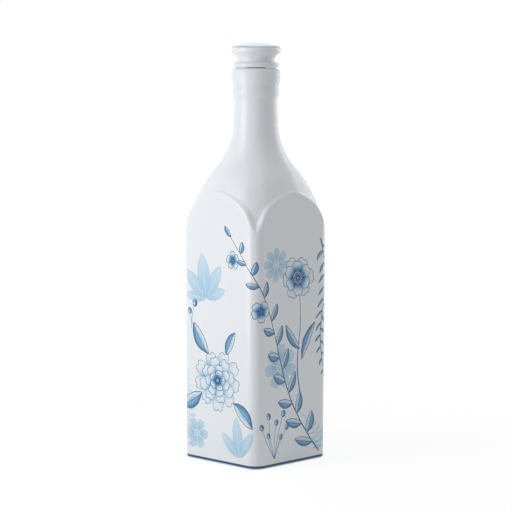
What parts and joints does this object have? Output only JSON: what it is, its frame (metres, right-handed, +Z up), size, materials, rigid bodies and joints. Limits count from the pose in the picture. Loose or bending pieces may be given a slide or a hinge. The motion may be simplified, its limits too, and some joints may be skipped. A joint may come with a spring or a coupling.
{
  "type": "bottle",
  "caption": "Square porcelain bottle with arched flat sides, a round neck and a porcelain knob stopper that lifts out on a sealed plug.",
  "frame": {"origin": "middle of the foot, on the plane the bottle stands on", "axes": "+Z up along the axis of the neck and the stopper; the flat sides are square to X and Y"},
  "size_m": [0.0786, 0.0786, 0.31],
  "materials": {
    "porcelain": "white glazed porcelain with a soft gloss and blue painted decoration",
    "plug_plastic": "moulded ivory plastic, satin",
    "seal_silicone": "milky translucent silicone, satin"
  },
  "bodies": {
    "bottle": {"bottle_body": "porcelain"},
    "seals": {"seal_ring_upper": "seal_silicone", "seal_ring_middle": "seal_silicone", "seal_ring_lower": "seal_silicone"},
    "stopper": {"stopper_knob": "porcelain", "stopper_plug": "plug_plastic"}
  },
  "joints": [
    {"name": "stopper_lift", "type": "slide", "parent": "bottle", "child": "seals", "axis": [0, 0, 1], "range_m": [0, 0.06]},
    {"name": "stopper_turn", "type": "hinge", "parent": "seals", "child": "stopper", "pos_m": [0, 0, 0.2912], "axis": [0, 0, 1], "continuous": true}
  ]
}
